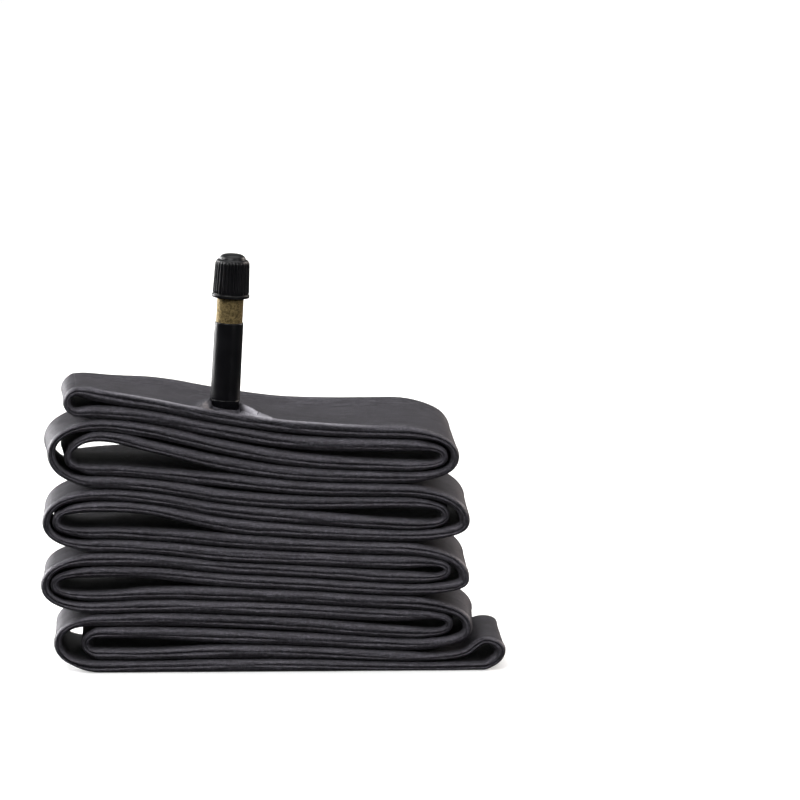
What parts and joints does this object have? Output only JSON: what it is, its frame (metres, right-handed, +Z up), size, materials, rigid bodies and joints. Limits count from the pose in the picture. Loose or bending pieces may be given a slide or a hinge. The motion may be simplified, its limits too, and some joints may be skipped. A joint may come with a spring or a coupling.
{
  "type": "bicycle inner tube",
  "caption": "Black butyl bicycle inner tube, pressed flat and folded to and fro into a pack, with a straight rubber-covered car-type valve, brass stem and dust cap.",
  "frame": {"origin": "under the middle of the folded pack, on the surface it lies on", "axes": "+X along the pack's longest side towards its bottom end loop, +Y across the flat tube, +Z up"},
  "size_m": [0.1334, 0.045, 0.1189],
  "materials": {
    "tube_rubber": "satin butyl rubber with a trace of talc",
    "stem_rubber": "smooth moulded rubber, satin",
    "brass": "satin, slightly tarnished",
    "steel": "bright zinc plate",
    "seal_rubber": "matte",
    "cap_plastic": "moulded, satin"
  },
  "bodies": {
    "tube": {"tube_body": "tube_rubber", "valve_patch": "tube_rubber", "stem_sleeve": "stem_rubber", "stem_body": "brass"},
    "core": {"core_barrel": "brass", "core_gasket": "seal_rubber", "core_spring": "steel"},
    "plug": {"core_plug": "brass"},
    "pin": {"core_pin": "steel", "core_cup": "brass", "core_cup_seal": "seal_rubber"},
    "seal": {"cap_seal": "seal_rubber"},
    "cap": {"dust_cap": "cap_plastic"}
  },
  "joints": [
    {"name": "cap_lift", "type": "slide", "parent": "tube", "child": "seal", "axis": [0.0576, 0, 0.9983], "range_m": [0, 0.00953]},
    {"name": "cap_turn", "type": "hinge", "parent": "seal", "child": "cap", "pos_m": [-0.01137, 0, 0.11301], "axis": [0.0576, 0, 0.9983], "range_deg": [0, 4321]},
    {"name": "core_lift", "type": "slide", "parent": "tube", "child": "core", "axis": [0.0576, 0, 0.9983], "range_m": [0, 0.00212]},
    {"name": "core_turn", "type": "hinge", "parent": "core", "child": "plug", "pos_m": [-0.01143, 0, 0.11201], "axis": [0.0576, 0, 0.9983], "range_deg": [0, 1081]},
    {"name": "pin_press", "type": "slide", "parent": "core", "child": "pin", "axis": [-0.0576, 0, -0.9983], "range_m": [0, 0.001], "stiffness_N_per_m": 400, "springref_m": -0.003, "deforming": ["core_spring"]}
  ],
  "couplings": [
    {"joint": "cap_turn", "follows": "cap_lift", "rad_per_m": 7915.8},
    {"joint": "core_turn", "follows": "core_lift", "rad_per_m": 8904.7}
  ]
}
